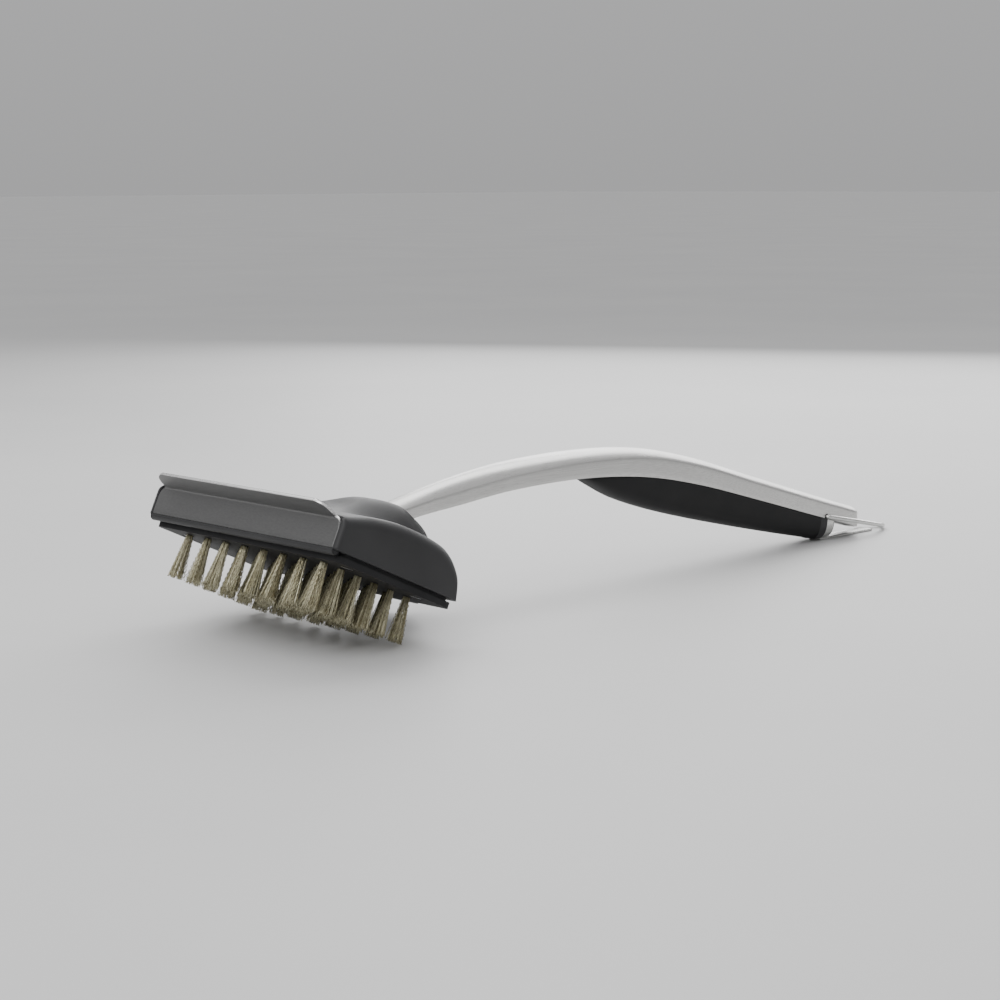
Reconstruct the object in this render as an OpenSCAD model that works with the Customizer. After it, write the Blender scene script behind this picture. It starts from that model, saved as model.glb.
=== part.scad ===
// Grill cleaning brush: a pitched T-shaped head with a scraper and wire tufts,
// an arched stainless handle with a soft belly grip, and a swinging wire loop.
// X runs from the head to the tail, Y across the head, Z up; the brush stands
// on its rear tufts and on the foot under its tail.

/* [Head] */
// Half of the head's width
head_half_w = 69.5; // [64:0.5:72]
// Nose-up pitch of the head against the ground, degrees
head_pitch = 25; // [20:1:28]
// Wall thickness of the moulded shell
shell_wall = 2.5; // [2:0.1:3]
// Corner radius between the shell's top and its sides
side_round = 5; // [3:0.5:6]

/* [Scraper] */
// Half of the scraper's width
scraper_half_w = 66.4; // [60:0.1:66.4]
// Sheet thickness of the scraper
scraper_t = 1.5; // [1.2:0.1:1.6]
// How far the bent edge stands forward of the face
flange_reach = 9; // [5:0.5:12]
// Rise of the bent edge from root to lip
flange_rise = 3.6; // [1:0.2:5]

/* [Bristles] */
// Tufts in one row across the head
tufts_across = 8; // [6:1:8]
// Number of rows
tuft_rows = 6; // [6:1:6]
// Spacing of the tufts across the head
tuft_pitch_w = 14.1; // [12:0.1:14.3]
// Spacing of the rows
tuft_pitch_a = 10.1; // [9:0.1:10.3]
// Free length of a tuft
tuft_len = 21.2; // [18:0.1:24]
// Radius of a tuft at its hole
tuft_root_r = 1.8; // [1.2:0.1:2]
// Radius of a tuft at its tip
tuft_tip_r = 3.6; // [2.4:0.1:4]

/* [Handle] */
// Sheet thickness of the handle
steel_t = 1.2; // [1:0.1:1.4]
// Radius of the rounded tail in plan
nose_r = 9.3; // [8.8:0.1:9.4]

/* [Hanging loop] */
// Wire diameter
wire_d = 2.6; // [2:0.1:2.8]
// Length of the loop from its pivot to the wire's centre at the tip
loop_len = 63.5; // [60:0.5:66]
// Radial clearance of the wire in its bore
pivot_gap = 0.05; // [0.03:0.01:0.08]

/* [Hidden] */
$fn = 48;
eps = 0.01;

// Head levels, measured square to the head from the underside of the front lip
rim_b = 2.2;
face_top_b = 16.7;
block_low_b = -2;
groove_b = 0.8;
cavity_top_b = 13;
cavity_front_a = 4.2;
cavity_rear_a = 70;
cavity_half_w = head_half_w - shell_wall - 1;
first_row_a = 12.2;
tip_b = block_low_b - tuft_len;

// The rear edge of the last row's tips stands on the ground
last_tip_a = first_row_a + (tuft_rows - 1) * tuft_pitch_a + tuft_tip_r;
lip_z = last_tip_a * sin(head_pitch) - tip_b * cos(head_pitch);

// Loop pivot, and the sag that lays the tip's wire on the ground
pivot_x = 401;
pivot_z = 14.2;
wire_r = wire_d / 2;
tip_clear = 0.15;
loop_sag = asin((pivot_z - wire_r - tip_clear) / loop_len);

// The frame's origin stands under the middle of the whole length
front_x = (first_row_a - tuft_tip_r) * cos(head_pitch) + tip_b * sin(head_pitch);
tip_x = pivot_x + loop_len * cos(loop_sag) + wire_r;
mid_x = (front_x + tip_x) / 2;

// Colours
plastic = [0.13, 0.13, 0.13];
soft_black = [0.07, 0.07, 0.07];
steel = [0.78, 0.78, 0.77];
brass = [0.72, 0.66, 0.45];
zinc = [0.6, 0.6, 0.62];

// Handle stations: x, crown z, lower edge z, half width, arch height, arch fullness
handle_pts = [
    [62, 48.2, 39.4, 7.5, 3.4, 0.15],
    [95, 56.0, 46.4, 7.8, 3.8, 0.15],
    [125, 62.0, 50.0, 8.6, 5.4, 0.2],
    [160, 66.6, 54.0, 10.2, 6.0, 0.4],
    [205, 68.2, 55.1, 11.4, 5.6, 0.8],
    [250, 65.9, 51.5, 11.8, 5.2, 1],
    [292, 57.6, 43.2, 11.6, 5.0, 1],
    [340, 43.4, 30.2, 10.8, 5.0, 1],
    [395, 27.0, 14.7, 9.6, 4.6, 1],
    [426, 18.0, 6.5, 9.3, 4.2, 1]
];
nose_x = 426;
nose_slope = -0.285;
tail_end_x = nose_x + nose_r;

// Grip belly: x, lowest z, half width
grip_pts = [
    [212, 53.8, 4],
    [222, 48.4, 9.2],
    [238, 40.6, 11.2],
    [262, 32.6, 11.8],
    [292, 24.6, 11.8],
    [325, 16.8, 11.2],
    [362, 8.6, 10.4],
    [396, 1.5, 9.8]
];
grip_front_x = 212;
grip_rear_x = 396;
core_front_x = 226;

// Shell outline near a side, and along the ridge, as pairs of depth and height
side_pts = [
    [0, 16.7], [9, 19.4], [18, 21.8], [32, 23.8], [45, 24],
    [57, 22.8], [64, 20.2], [69, 16.2], [72.4, 11.4], [75, 2.2]
];
ridge_pts = [
    [0, 16.7], [14, 19.4], [30, 23.6], [45, 30], [60, 38.4],
    [77, 41.3], [88.5, 38.4], [98, 34], [104, 26], [106.5, 2.2]
];
// For each point of the outline: half width of the ridge's flat, and of the foot of its flank
flat_w = [2, 2, 2, 2, 3, 6, 7.5, 8, 8, 8];
flank_w = [46, 38, 30, 27, 26, 26, 26, 26, 26, 26];

// Catmull-Rom curve through a list of vectors, u from 0 to 1
function blend4(p, q, r, s, t) =
    0.5 * (2 * q + (r - p) * t + (2 * p - 5 * q + 4 * r - s) * t * t
        + (3 * q - p - 3 * r + s) * t * t * t);
function along(pts, u) =
    let (
        n = len(pts) - 1,
        i = min(floor(u * n), n - 1),
        t = u * n - i
    )
    blend4(pts[max(i - 1, 0)], pts[i], pts[i + 1], pts[min(i + 2, n)], t);

// Parameter of the curve where its first value is x, by halving
function u_at(pts, x, lo = 0, hi = 1, n = 24) =
    n == 0 ? (lo + hi) / 2 :
    let (m = (lo + hi) / 2)
    along(pts, m)[0] < x ? u_at(pts, x, m, hi, n - 1) : u_at(pts, x, lo, m, n - 1);

// Solid between rings of equal length; the rings run anticlockwise seen from +X or +Y
module loft(rings) {
    n = len(rings[0]);
    last = len(rings) - 1;
    pts = [for (r = rings, p = r) p];
    sides = [
        for (i = [0:last - 1], j = [0:n - 1])
            let (k = (j + 1) % n)
            each [
                [i * n + j, (i + 1) * n + j, (i + 1) * n + k],
                [i * n + j, (i + 1) * n + k, i * n + k]
            ]
    ];
    front = [[for (j = [0:n - 1]) j]];
    back = [[for (j = [n - 1:-1:0]) last * n + j]];
    polyhedron(points = pts, faces = concat(sides, front, back), convexity = 8);
}

module part_frame() {
    translate([-mid_x, 0, 0]) children();
}

module head_frame() {
    part_frame() translate([0, 0, lip_z]) rotate([0, head_pitch, 0]) children();
}

// Values of the handle at x; past the last station the tail narrows on a half circle
function handle_at(x) =
    x <= nose_x ? along(handle_pts, u_at(handle_pts, x)) :
    let (
        e = handle_pts[len(handle_pts) - 1],
        d = min((x - nose_x) / nose_r, 0.998),
        fall = nose_slope * (x - nose_x)
    )
    [x, e[1] + fall, e[2] + fall, nose_r * sqrt(1 - d * d), e[4], e[5]];

// One ring of the handle: flat below, upright sides and an arched top, drawn in by t
function handle_ring(x, t = 0, low = 0) =
    let (
        h = handle_at(x),
        w = max(h[3] - t, 0.3),
        shoulder = h[1] - h[4],
        steps = 12
    )
    concat(
        [[x, -w, h[2] + low], [x, w, h[2] + low]],
        [
            for (k = [0:steps])
                let (
                    f = 180 * k / steps,
                    s = sin(f)
                )
                [x, w * cos(f), shoulder - t + h[4] * ((1 - h[5]) * s * s + h[5] * s)]
        ]
    );

function handle_xs(from, to) =
    let (n = ceil((to - from) / 8)) [for (i = [0:n]) from + (to - from) * i / n];
nose_xs = [for (f = [15:15:90]) nose_x + nose_r * sin(f)];

module handle_solid(from, to, t = 0, low = 0) {
    loft([for (x = handle_xs(from, to)) handle_ring(x, t, low)]);
}

module tail_solid(from, t = 0, low = 0) {
    xs = concat(handle_xs(from, nose_x), [for (x = nose_xs) x]);
    loft([for (x = xs) handle_ring(min(x, tail_end_x) - t * (x > nose_x ? 1 : 0), t, low)]);
}

// Shell cross-section at w: ridge and side outlines mixed point by point
function flank(w, flat, reach) =
    let (d = (abs(w) - flat) / (reach - flat))
    d <= 0 ? 1 : d >= 1 ? 0 : (1 + cos(180 * d)) / 2;
function edge_drop(w) =
    let (d = abs(w) - (head_half_w - side_round))
    d <= 0 ? 0 : side_round - sqrt(max(side_round * side_round - d * d, 0));
function shell_ring(w) =
    let (
        mixed = [
            for (i = [0:len(side_pts) - 1])
                let (k = flank(w, flat_w[i], flank_w[i]))
                side_pts[i] * (1 - k) + ridge_pts[i] * k
        ],
        n = 34,
        drop = edge_drop(w),
        inset = drop * 0.5
    )
    concat(
        [[0, w, rim_b]],
        [
            for (i = [0:n])
                let (p = along(mixed, i / n))
                [max(p[0] - inset * i / n, 0), w, max(p[1] - drop * (p[1] - rim_b) / 16, rim_b)]
        ]
    );

module shell_body() {
    ws = concat(
        [for (f = [90:-15:15]) -(head_half_w - side_round + side_round * sin(f))],
        [for (w = [-62:4:-6]) w], [0], [for (w = [6:4:62]) w],
        [for (f = [15:15:90]) head_half_w - side_round + side_round * sin(f)]
    );
    loft([for (w = ws) shell_ring(w)]);
}

// Places of the fasteners in the head
block_screw_at = [for (a = [18, 60], w = [-58, 58]) [a, w]];
stud_w = [-44, 0, 44];
stud_b = 9;
neck_screw_a = 65;
neck_screw_w = [-3.6, 3.6];
lip_r = 2.2;
recess_gap = 0.1;
socket_gap = 0.03;

// Hollows that keep the moulding's wall even: near and far corners, and highest level
pockets = [
    [[12, 14], [62, 55], 16.6],
    [[24, 14], [62, 36], 20.2]
];

module neck_bores(low, len, r) {
    for (w = neck_screw_w) translate([neck_screw_a, w, low]) cylinder(r = r, h = len);
}

module head_shell() {
    color(plastic) difference() {
        head_frame() {
            difference() {
                union() {
                    shell_body();
                    translate([lip_r, 0, lip_r]) rotate([90, 0, 0])
                        cylinder(r = lip_r, h = 2 * scraper_half_w, center = true);
                }
                translate([-eps, -scraper_half_w - recess_gap, lip_r + 0.4])
                    cube([scraper_t + eps, 2 * (scraper_half_w + recess_gap), 30]);
                translate([cavity_front_a, -cavity_half_w, -1])
                    cube([cavity_rear_a - cavity_front_a, 2 * cavity_half_w, cavity_top_b + 1]);
                for (p = pockets, s = [0, 1])
                    mirror([0, s, 0]) translate([p[0][0], p[0][1], cavity_top_b - eps])
                        cube([p[1][0] - p[0][0], p[1][1] - p[0][1], p[2] - cavity_top_b]);
                for (w = stud_w)
                    translate([0, w, stud_b]) rotate([0, 90, 0]) cylinder(r = 1.5, h = 8);
                neck_bores(cavity_top_b - 1, 24, 1.6);
            }
            for (p = block_screw_at)
                translate([p[0], p[1], 4]) difference() {
                    cylinder(r = 4, h = cavity_top_b - 4 + eps);
                    translate([0, 0, -1]) cylinder(r = 1.5, h = 8);
                }
        }
        part_frame() handle_solid(62, 118, -socket_gap, -socket_gap);
    }
}

module plan_slab(inset, low, high) {
    r = 4;
    translate([0, 0, low]) linear_extrude(high - low) {
        a0 = 4.4 + inset;
        a1 = 74 - inset;
        w1 = head_half_w - 1.8 - inset;
        translate([a0, -w1 + r]) square([a1 - a0, 2 * (w1 - r)]);
        translate([a0 + r, -w1]) square([a1 - a0 - 2 * r, 2 * w1]);
        for (a = [a0 + r, a1 - r], w = [-w1 + r, w1 - r]) translate([a, w]) circle(r);
    }
}

function tuft_w(i) = (i - (tufts_across - 1) / 2) * tuft_pitch_w;
function tuft_a(row) = first_row_a + (row - 1) * tuft_pitch_a;
root_depth = 3.2;

module bristle_block() {
    color(plastic) head_frame() difference() {
        union() {
            plan_slab(0.2, block_low_b, groove_b);
            plan_slab(1.6, groove_b - eps, rim_b);
            translate([cavity_front_a + 0.1, -cavity_half_w + 0.1, rim_b - eps])
                cube([cavity_rear_a - cavity_front_a - 0.2, 2 * cavity_half_w - 0.2, 4 - rim_b]);
        }
        for (row = [1:tuft_rows], i = [0:tufts_across - 1])
            translate([tuft_a(row), tuft_w(i), block_low_b - 1])
                cylinder(r = tuft_root_r, h = root_depth + 1.6);
        for (p = block_screw_at)
            translate([p[0], p[1], block_low_b - 1]) {
                cylinder(r = 1.5, h = 10);
                cylinder(r = 3.1, h = 3);
            }
    }
}

module block_screws() {
    color(zinc) head_frame() for (p = block_screw_at) translate([p[0], p[1], 0]) {
        difference() {
            translate([0, 0, block_low_b + 0.2]) cylinder(r = 3, h = 1.8);
            for (q = [0, 90])
                rotate(q) translate([-1.7, -0.35, block_low_b]) cube([3.4, 0.7, 1.1]);
        }
        cylinder(r = 1.5, h = 9);
    }
}

module tuft_row(row) {
    color(brass) head_frame() for (i = [0:tufts_across - 1])
        translate([tuft_a(row), tuft_w(i), tip_b]) {
            cylinder(r1 = tuft_tip_r, r2 = tuft_root_r, h = tuft_len);
            translate([0, 0, tuft_len - eps]) cylinder(r = tuft_root_r, h = root_depth + eps);
        }
}

module tuft_anchors() {
    color(zinc) head_frame() for (row = [1:tuft_rows], i = [0:tufts_across - 1])
        translate([tuft_a(row) - 1.2, tuft_w(i) - 0.7, block_low_b + root_depth]) cube([2.4, 1.4, 0.5]);
}

// Scraper: an upright leg with rounded upper corners and an edge bent forward
module scraper_blade() {
    corner = 6;
    edge_r = 7;
    root_in = 0.9;
    neck_half_w = scraper_half_w - 4.2;
    leg_h = face_top_b - lip_r - 0.6;
    rise = atan2(flange_rise, flange_reach);
    reach = norm([flange_rise, flange_reach]);
    color(steel) head_frame() {
        translate([0, 0, lip_r + 0.6]) rotate([90, 0, 90]) linear_extrude(scraper_t) {
            translate([-scraper_half_w, 0]) square([2 * scraper_half_w, leg_h - corner]);
            translate([-scraper_half_w + corner, 0]) square([2 * (scraper_half_w - corner), leg_h]);
            for (s = [-1, 1]) translate([s * (scraper_half_w - corner), leg_h - corner]) circle(corner);
        }
        translate([0, 0, face_top_b - scraper_t]) rotate([0, rise, 0]) linear_extrude(scraper_t)
            intersection() {
                translate([-reach, -neck_half_w]) square([reach + root_in, 2 * neck_half_w]);
                union() {
                    translate([-reach + edge_r, -neck_half_w]) square([reach, 2 * neck_half_w]);
                    translate([-reach, -neck_half_w + edge_r]) square([edge_r + eps, 2 * (neck_half_w - edge_r)]);
                    for (s = [-1, 1])
                        translate([-reach + edge_r, s * (neck_half_w - edge_r)]) circle(edge_r);
                }
            }
    }
}

module scraper_studs() {
    color(zinc) head_frame() for (w = stud_w)
        translate([scraper_t, w, stud_b]) rotate([0, 90, 0]) cylinder(r = 1.5, h = 7);
}

module stud_nuts() {
    color(zinc) head_frame() for (w = stud_w)
        translate([cavity_front_a, w, stud_b]) rotate([0, 90, 0]) difference() {
            cylinder(r = 3.2, h = 2.4, $fn = 6);
            translate([0, 0, -1]) cylinder(r = 1.5, h = 5);
        }
}

plug_rear_x = 112;
fit_gap = 0.06;

module neck_plug() {
    color(plastic) difference() {
        part_frame() handle_solid(63, plug_rear_x, steel_t + fit_gap, steel_t + 2 * fit_gap);
        head_frame() neck_bores(cavity_top_b, 40, 1.5);
    }
}

module neck_screws() {
    color(zinc) head_frame() for (w = neck_screw_w) translate([neck_screw_a, w, cavity_top_b]) {
        translate([0, 0, -2.4]) difference() {
            cylinder(r = 3.3, h = 2.4);
            for (q = [0, 90]) rotate(q) translate([-1.8, -0.4, -1]) cube([3.6, 0.8, 2.2]);
        }
        translate([0, 0, -eps]) cylinder(r = 1.5, h = 12);
    }
}

module handle_shell() {
    color(steel) part_frame() difference() {
        tail_solid(62);
        tail_solid(61, steel_t, -2);
        translate([pivot_x, 0, pivot_z]) rotate([90, 0, 0])
            cylinder(r = wire_r + 0.6, h = 60, center = true);
    }
}

// Strip that closes the channel between the socket and the grip
module handle_underside() {
    color(steel) difference() {
        part_frame() intersection() {
            handle_solid(63, core_front_x, steel_t + fit_gap);
            translate([0, 0, steel_t]) difference() {
                translate([63, -20, 0]) cube([grip_front_x - 49, 40, 90]);
                handle_solid(62, grip_front_x + 20, -4);
            }
        }
        head_frame() neck_bores(cavity_top_b - 2, 30, 1.6);
    }
}

core_screw_x = [262, 350];

module grip_core() {
    color(plastic) part_frame() difference() {
        handle_solid(core_front_x + 0.2, grip_rear_x, steel_t + fit_gap);
        for (x = core_screw_x)
            translate([x, 0, handle_at(x)[2]]) {
                translate([0, 0, -4]) cylinder(r = 3.05, h = 4);
                translate([0, 0, -1]) cylinder(r = 1.5, h = 10);
            }
    }
}

module core_screws() {
    color(zinc) part_frame() for (x = core_screw_x)
        translate([x, 0, handle_at(x)[2]]) {
            translate([0, 0, -2.2]) cylinder(r = 3, h = 2.2);
            translate([0, 0, -eps]) cylinder(r = 1.5, h = 9);
        }
}

function grip_ring(x) =
    let (
        g = along(grip_pts, u_at(grip_pts, x)),
        h = handle_at(x),
        top = h[2] - fit_gap,
        w = min(g[2], h[3]),
        depth = top - g[1],
        steps = 12
    )
    [
        for (k = [0:steps])
            let (f = 180 + 180 * k / steps)
            [x, w * sign(cos(f)) * pow(abs(cos(f)), 0.75), top + depth * sin(f)]
    ];

module soft_grip() {
    n = 26;
    color(soft_black) part_frame() difference() {
        loft([for (i = [0:n]) grip_ring(grip_front_x + 1 + (grip_rear_x - grip_front_x - 1) * i / n)]);
        for (x = core_screw_x)
            translate([x, 0, handle_at(x)[2] - 2.2]) cylinder(r = 3.05, h = 10);
    }
}

// Heel of the tail cap: x, lowest z, half width
heel_pts = [
    [396, 0.6, 9.5],
    [404, 0.7, 9.3],
    [408, 0.8, 9.1],
    [409, 1.9, 8.4]
];
heel_top_z = 13.5;
foot_t = 1.3;
foot_front_x = 402;
foot_end_x = 450;
foot_half_w = 4.2;
rivet_x = 405.4;
// The foot's band lies in a groove round the heel
band_xs = [402, 404, 406, 408];
heel_xs = concat([396, 398, 400], band_xs, [409]);
band_t = 0.8;

function heel_ring(x, inset = 0, low = foot_t) =
    let (
        g = along(heel_pts, u_at(heel_pts, x)),
        depth = heel_top_z - g[1] - inset,
        w = g[2] - inset,
        steps = 16
    )
    [
        for (k = [0:steps])
            let (f = 180 + 180 * k / steps)
            [x, w * sign(cos(f)) * pow(abs(cos(f)), 0.75), max(heel_top_z + depth * sin(f), low)]
    ];

// Wall between the heel's surface, moved out by over, and its inner face;
// it stops at the distance clear below the channel
module heel_wall(gap, over, low, clear) {
    first = band_xs[0] - gap;
    last = band_xs[3] + gap;
    difference() {
        loft([for (x = [first, band_xs[1], band_xs[2], last]) heel_ring(x, -over, low)]);
        loft([
            for (x = [first - 1, band_xs[1], band_xs[2], last + 0.5])
                heel_ring(x, band_t + gap, foot_t + band_t + gap)
        ]);
        tail_solid(grip_rear_x - 1, -clear, -clear);
    }
}

module tail_cap() {
    color(plastic) part_frame() difference() {
        union() {
            tail_solid(grip_rear_x, steel_t + fit_gap);
            difference() {
                loft([for (x = heel_xs) heel_ring(x)]);
                difference() {
                    tail_solid(grip_rear_x - 1, -fit_gap, -fit_gap);
                    tail_solid(grip_rear_x - 2, steel_t + fit_gap, -1);
                }
            }
        }
        translate([pivot_x, 0, pivot_z]) rotate([90, 0, 0])
            cylinder(r = wire_r + pivot_gap, h = 60, center = true);
        translate([rivet_x, 0, 0]) cylinder(r = 1.4, h = 9);
        heel_wall(fit_gap, 1, 0, -steel_t / 2);
    }
}

module tail_foot() {
    color(steel) part_frame() difference() {
        union() {
            linear_extrude(foot_t) {
                translate([foot_front_x, -foot_half_w])
                    square([foot_end_x - 1 - foot_front_x, 2 * foot_half_w]);
                translate([foot_front_x, -foot_half_w + 1])
                    square([foot_end_x - foot_front_x, 2 * foot_half_w - 2]);
            }
            heel_wall(0, 0, foot_t - 0.3, 2 * fit_gap);
        }
        translate([rivet_x, 0, -1]) cylinder(r = 1.4, h = 5);
        translate([rivet_x, 0, -1]) cylinder(r = 2.4, h = 1.6);
    }
}

module foot_rivet() {
    color(zinc) part_frame() translate([rivet_x, 0, 0]) {
        translate([0, 0, 0.1]) cylinder(r = 2.35, h = 0.5);
        translate([0, 0, 0.1]) cylinder(r = 1.4, h = 8.7);
    }
}

// Loop outline in its own plane: distance from the pivot and half width
bend_r = 2;
arm_w = 11.4;
function bezier(p, t) =
    p[0] * pow(1 - t, 3) + 3 * p[1] * t * pow(1 - t, 2) + 3 * p[2] * t * t * (1 - t) + p[3] * t * t * t;
arm_curve = [[bend_r, arm_w], [22, 17], [loop_len, 8], [loop_len, 0]];
half_path = concat(
    [for (f = [0:30:60]) [bend_r * (1 - cos(f)), arm_w - bend_r + bend_r * sin(f)]],
    [for (i = [0:20]) bezier(arm_curve, i / 20)]
);
loop_path = concat(
    [for (p = half_path) p],
    [for (i = [len(half_path) - 2:-1:0]) [half_path[i][0], -half_path[i][1]]]
);

function path_dir(pts, i) =
    let (d = pts[min(i + 1, len(pts) - 1)] - pts[max(i - 1, 0)]) d / norm(d);
function wire_ring(pts, i) =
    let (
        d = i == 0 || i == len(pts) - 1 ? [0, 1] : path_dir(pts, i),
        n = [-d[1], d[0]]
    )
    [
        for (k = [0:11])
            let (f = 30 * k)
            [
                pts[i][0] + wire_r * cos(f) * n[0],
                pts[i][1] + wire_r * cos(f) * n[1],
                wire_r * sin(f)
            ]
    ];

module hanging_loop() {
    color(steel) part_frame() translate([pivot_x, 0, pivot_z]) rotate([0, loop_sag, 0]) {
        loft([for (i = [0:len(loop_path) - 1]) wire_ring(loop_path, i)]);
        for (s = [-1, 1])
            translate([0, s * 3, 0]) rotate([-90 * s, 0, 0]) cylinder(r = wire_r, h = arm_w - bend_r - 3 + 0.05);
    }
}

head_shell();
bristle_block();
block_screws();
tuft_row(1);  // tuft_row_1
tuft_row(2);  // tuft_row_2
tuft_row(3);  // tuft_row_3
tuft_row(4);  // tuft_row_4
tuft_row(5);  // tuft_row_5
tuft_row(6);  // tuft_row_6
tuft_anchors();
scraper_blade();
scraper_studs();
stud_nuts();
neck_plug();
neck_screws();
handle_shell();
handle_underside();
grip_core();
core_screws();
soft_grip();
tail_cap();
tail_foot();
foot_rivet();
hanging_loop();
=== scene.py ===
import math
import bpy
import bmesh
import numpy as np
from mathutils import Matrix, Vector


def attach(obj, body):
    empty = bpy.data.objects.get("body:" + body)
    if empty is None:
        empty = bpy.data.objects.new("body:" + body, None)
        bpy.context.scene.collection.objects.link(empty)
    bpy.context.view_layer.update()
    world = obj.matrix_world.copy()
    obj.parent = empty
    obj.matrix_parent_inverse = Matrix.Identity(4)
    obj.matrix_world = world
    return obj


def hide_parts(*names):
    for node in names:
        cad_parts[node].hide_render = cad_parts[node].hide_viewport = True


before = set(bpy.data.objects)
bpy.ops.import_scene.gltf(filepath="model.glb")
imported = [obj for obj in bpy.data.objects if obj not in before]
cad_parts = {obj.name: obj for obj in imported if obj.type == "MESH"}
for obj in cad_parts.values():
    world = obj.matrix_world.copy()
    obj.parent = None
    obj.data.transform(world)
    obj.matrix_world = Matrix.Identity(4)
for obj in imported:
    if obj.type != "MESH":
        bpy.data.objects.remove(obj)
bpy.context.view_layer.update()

MM = 0.001
MERGE = 2e-6
TIP_LIFT = 0.00005
FLOOR_DROP = 0.00005
FLOOR_HALF = 30.0
rng = np.random.default_rng(7)

# ---------------------------------------------------------------- design values, mm
HEAD_HALF_W = 69.5
PITCH = math.radians(25)
SIDE_ROUND = 5.0
POST_ROUND = 2.2
RIM_ROUND = 0.7
SCRAPER_HALF_W = 66.4
SHEET_T = 1.5
FLANGE_REACH = 9.0
FLANGE_RISE = 3.6
RIM_B = 2.2
FACE_TOP_B = 16.7
BLOCK_LOW_B = -2.0
CAVITY_TOP_B = 13.0
CAVITY_A = (4.2, 70.0)
CAVITY_HALF_W = 66.0
LIP_R = 2.2
FIRST_ROW_A = 12.2
TUFT_ROWS = 6
TUFTS_ACROSS = 8
PITCH_W = 14.1
PITCH_A = 10.1
TUFT_LEN = 21.2
ROOT_R = 1.8
TIP_R = 3.6
TIP_B = BLOCK_LOW_B - TUFT_LEN
WIRES_PER_TUFT = 78
WIRE_STEPS = 18
WIRE_HALF = 0.17
STEEL_T = 1.2
NOSE_R = 9.3
NOSE_X = 426.0
NOSE_SLOPE = -0.285
GRIP_X = (212.0, 396.0)
WIRE_R = 1.3
LOOP_LEN = 63.5
PIVOT = (401.0, 14.2)
TIP_CLEAR = 0.15
ARM_W = 11.4
BEND_R = 2.0
CAP_WIRE_W = 3.0
FIT_GAP = 0.06

LAST_TIP_A = FIRST_ROW_A + (TUFT_ROWS - 1) * PITCH_A + TIP_R
LIP_Z = LAST_TIP_A * math.sin(PITCH) - TIP_B * math.cos(PITCH)
LOOP_SAG = math.asin((PIVOT[1] - WIRE_R - TIP_CLEAR) / LOOP_LEN)
FRONT_X = (FIRST_ROW_A - TIP_R) * math.cos(PITCH) + TIP_B * math.sin(PITCH)
TIP_X = PIVOT[0] + LOOP_LEN * math.cos(LOOP_SAG) + WIRE_R
MID_X = (FRONT_X + TIP_X) / 2

# Handle: x, crown z, lower edge z, half width, arch height, arch fullness
HANDLE = np.array([
    [62, 48.2, 39.4, 7.5, 3.4, .15], [95, 56, 46.4, 7.8, 3.8, .15],
    [125, 62, 50, 8.6, 5.4, .2], [160, 66.6, 54, 10.2, 6, .4],
    [205, 68.2, 55.1, 11.4, 5.6, .8], [250, 65.9, 51.5, 11.8, 5.2, 1],
    [292, 57.6, 43.2, 11.6, 5, 1], [340, 43.4, 30.2, 10.8, 5, 1],
    [395, 27, 14.7, 9.6, 4.6, 1], [426, 18, 6.5, 9.3, 4.2, 1]])
# Grip: x, lowest z, half width
GRIP = np.array([
    [212, 53.8, 4], [222, 48.4, 9.2], [238, 40.6, 11.2], [262, 32.6, 11.8],
    [292, 24.6, 11.8], [325, 16.8, 11.2], [362, 8.6, 10.4], [396, 1.5, 9.8]])
# Outline of the head's top away from the socket and over its middle: a, b
SIDE = np.array([
    [0, 16.7], [9, 19.4], [18, 21.8], [32, 23.8], [45, 24],
    [57, 22.8], [64, 20.2], [69, 16.2], [72.4, 11.4], [75, 2.2]])
RIDGE = np.array([
    [0, 16.7], [14, 19.4], [30, 23.6], [45, 30], [60, 38.4],
    [77, 41.3], [88.5, 38.4], [98, 34], [104, 26], [106.5, 2.2]])
# Half width of the ridge's flat and of the foot of its flank, for each point of RIDGE
FLAT_W = np.array([2, 2, 2, 2, 3, 6, 7.5, 8, 8, 8])
FLANK_W = np.array([46, 38, 30, 27, 26, 26, 26, 26, 26, 26])
TOP_START = 2.6

# Heel of the tail cap: x, lowest z, half width
HEEL = np.array([[396, 0.6, 9.5], [404, 0.7, 9.3], [408, 0.8, 9.1], [409, 1.9, 8.4]])
BAND_X = (402, 408)
BAND_T = 0.8
FOOT_X = (402, 450)
FOOT_T = 1.3
FOOT_HALF_W = 4.2
RIVET_X = 405.4


# ---------------------------------------------------------------- curves
def curve(pts, n):
    """Catmull-Rom curve through the points, n + 1 samples."""
    m = len(pts) - 1
    u = np.linspace(0, m, n + 1)
    i = np.minimum(u.astype(int), m - 1)
    t = (u - i)[:, None]
    p, q, r, s = pts[np.maximum(i - 1, 0)], pts[i], pts[i + 1], pts[np.minimum(i + 2, m)]
    return 0.5 * (2 * q + (r - p) * t + (2 * p - 5 * q + 4 * r - s) * t ** 2
                  + (3 * q - p - 3 * r + s) * t ** 3)


HANDLE_FINE = curve(HANDLE, 900)
GRIP_FINE = curve(GRIP, 700)
HEEL_FINE = curve(HEEL, 400)


def handle_at(x):
    """Crown z, lower edge z, half width, arch height and arch fullness at x."""
    v = [float(np.interp(x, HANDLE_FINE[:, 0], HANDLE_FINE[:, k])) for k in range(1, 6)]
    if x > NOSE_X:
        d = min((x - NOSE_X) / NOSE_R, 1.0)
        fall = NOSE_SLOPE * (x - NOSE_X)
        v[0] += fall
        v[1] += fall
        v[2] = NOSE_R * math.sqrt(max(1 - d * d, 0))
    return v


def part(x, y, z):
    """Points of the part frame (mm, x from the lip) to the shared frame in metres."""
    x, y, z = np.broadcast_arrays(np.asarray(x, float), np.asarray(y, float), np.asarray(z, float))
    return np.stack([x - MID_X, y, z], -1) * MM


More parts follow.
